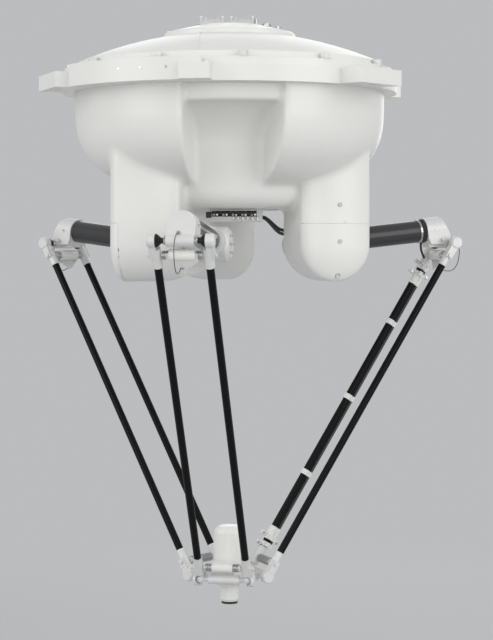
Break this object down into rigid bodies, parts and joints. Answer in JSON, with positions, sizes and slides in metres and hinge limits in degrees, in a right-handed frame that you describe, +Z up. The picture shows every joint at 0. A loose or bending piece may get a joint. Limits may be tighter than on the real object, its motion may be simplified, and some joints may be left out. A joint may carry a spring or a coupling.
{
  "type": "delta robot",
  "caption": "Ceiling-mounted delta robot: domed white body, driven carbon arms, slim parallel rod pairs and a small platform with a rotating tool flange.",
  "frame": {"origin": "on the robot's vertical axis, in the plane of the mounting ears' top faces", "axes": "+Z up along the robot axis; arm 1 points along -Y, arm 2 and arm 3 follow at 120 degrees each, counter-clockwise seen from above"},
  "size_m": [0.9888, 0.946, 1.2867],
  "materials": {
    "white_paint": "satin washable paint, slightly warm white",
    "cast_aluminium": "satin cast and machined aluminium",
    "steel": "bright stainless steel",
    "motor_black": "matt black motor housing",
    "carbon_fibre": "black carbon fibre tube with a soft sheen",
    "connector_grey": "light grey connector housing",
    "circuit_board": "dark board with terminal blocks",
    "cable_grey": "matt dark grey cable sheath",
    "white_nylon": "white nylon clips"
  },
  "bodies": {
    "base": {"body_shell": "white_paint", "mounting_ring": "white_paint", "dome_cover": "white_paint", "crown_lid": "white_paint", "dome_bolts": "steel", "connector_plate": "cast_aluminium", "power_connector": "connector_grey", "signal_connector": "connector_grey", "lock_levers": "steel", "air_fittings": "steel", "board_bracket": "cast_aluminium", "terminal_board": "circuit_board", "lobe_cable_1": "cable_grey", "lobe_cable_2": "cable_grey", "cap_screws": "steel", "gearbox_1": "cast_aluminium", "gearbox_2": "cast_aluminium", "gearbox_3": "cast_aluminium", "servo_motor_1": "motor_black", "servo_motor_2": "motor_black", "servo_motor_3": "motor_black", "end_cap_1": "white_paint", "end_cap_2": "white_paint", "end_cap_3": "white_paint"},
    "arm_1": {"arm_hub_1": "cast_aluminium", "arm_tube_1": "carbon_fibre", "elbow_bracket_1": "cast_aluminium", "elbow_shaft_1": "steel"},
    "arm_2": {"arm_hub_2": "cast_aluminium", "arm_tube_2": "carbon_fibre", "elbow_bracket_2": "cast_aluminium", "elbow_shaft_2": "steel"},
    "arm_3": {"arm_hub_3": "cast_aluminium", "arm_tube_3": "carbon_fibre", "elbow_bracket_3": "cast_aluminium", "elbow_shaft_3": "steel"},
    "rod_pair_1": {"rod_1a": "carbon_fibre", "rod_1b": "carbon_fibre", "rod_ends_1a": "cast_aluminium", "rod_ends_1b": "cast_aluminium", "spring_tie_1": "steel"},
    "rod_pair_2": {"rod_2a": "carbon_fibre", "rod_2b": "carbon_fibre", "rod_ends_2a": "cast_aluminium", "rod_ends_2b": "cast_aluminium", "spring_tie_2": "steel", "rod_cable": "cable_grey", "cable_clips": "white_nylon", "cable_clamps": "white_nylon"},
    "rod_pair_3": {"rod_3a": "carbon_fibre", "rod_3b": "carbon_fibre", "rod_ends_3a": "cast_aluminium", "rod_ends_3b": "cast_aluminium", "spring_tie_3": "steel"},
    "platform": {"platform_plate": "cast_aluminium", "platform_shafts": "steel", "platform_box": "white_paint", "tool_motor": "motor_black", "motor_cover": "white_paint"},
    "tool": {"tool_flange": "white_paint"}
  },
  "joints": [
    {"name": "platform_plunge", "type": "slide", "parent": "base", "child": "platform", "axis": [0, 0, 1], "range_m": [-0.075, 0.075]},
    {"name": "shoulder_1", "type": "hinge", "parent": "base", "child": "arm_1", "pos_m": [0, -0.17, -0.362], "axis": [1, 0, 0], "range_deg": [-12.5, 12.5]},
    {"name": "elbow_1", "type": "hinge", "parent": "arm_1", "child": "rod_pair_1", "pos_m": [0, -0.52, -0.357], "axis": [1, 0, 0], "range_deg": [-12.5, 12.5]},
    {"name": "shoulder_2", "type": "hinge", "parent": "base", "child": "arm_2", "pos_m": [0.14722, 0.085, -0.362], "axis": [-0.5, 0.866, 0], "range_deg": [-12.5, 12.5]},
    {"name": "elbow_2", "type": "hinge", "parent": "arm_2", "child": "rod_pair_2", "pos_m": [0.45033, 0.26, -0.357], "axis": [-0.5, 0.866, 0], "range_deg": [-12.5, 12.5]},
    {"name": "shoulder_3", "type": "hinge", "parent": "base", "child": "arm_3", "pos_m": [-0.14722, 0.085, -0.362], "axis": [-0.5, -0.866, 0], "range_deg": [-12.5, 12.5]},
    {"name": "elbow_3", "type": "hinge", "parent": "arm_3", "child": "rod_pair_3", "pos_m": [-0.45033, 0.26, -0.357], "axis": [-0.5, -0.866, 0], "range_deg": [-12.5, 12.5]},
    {"name": "tool_flange_spin", "type": "hinge", "parent": "platform", "child": "tool", "pos_m": [0, 0, -1.10197], "axis": [0, 0, 1], "range_deg": [-180, 180]}
  ],
  "couplings": [
    {"joint": "shoulder_1", "follows": "platform_plunge", "rad_per_m": -2.877},
    {"joint": "elbow_1", "follows": "platform_plunge", "rad_per_m": 2.877},
    {"joint": "shoulder_2", "follows": "platform_plunge", "rad_per_m": -2.877},
    {"joint": "elbow_2", "follows": "platform_plunge", "rad_per_m": 2.877},
    {"joint": "shoulder_3", "follows": "platform_plunge", "rad_per_m": -2.877},
    {"joint": "elbow_3", "follows": "platform_plunge", "rad_per_m": 2.877}
  ]
}
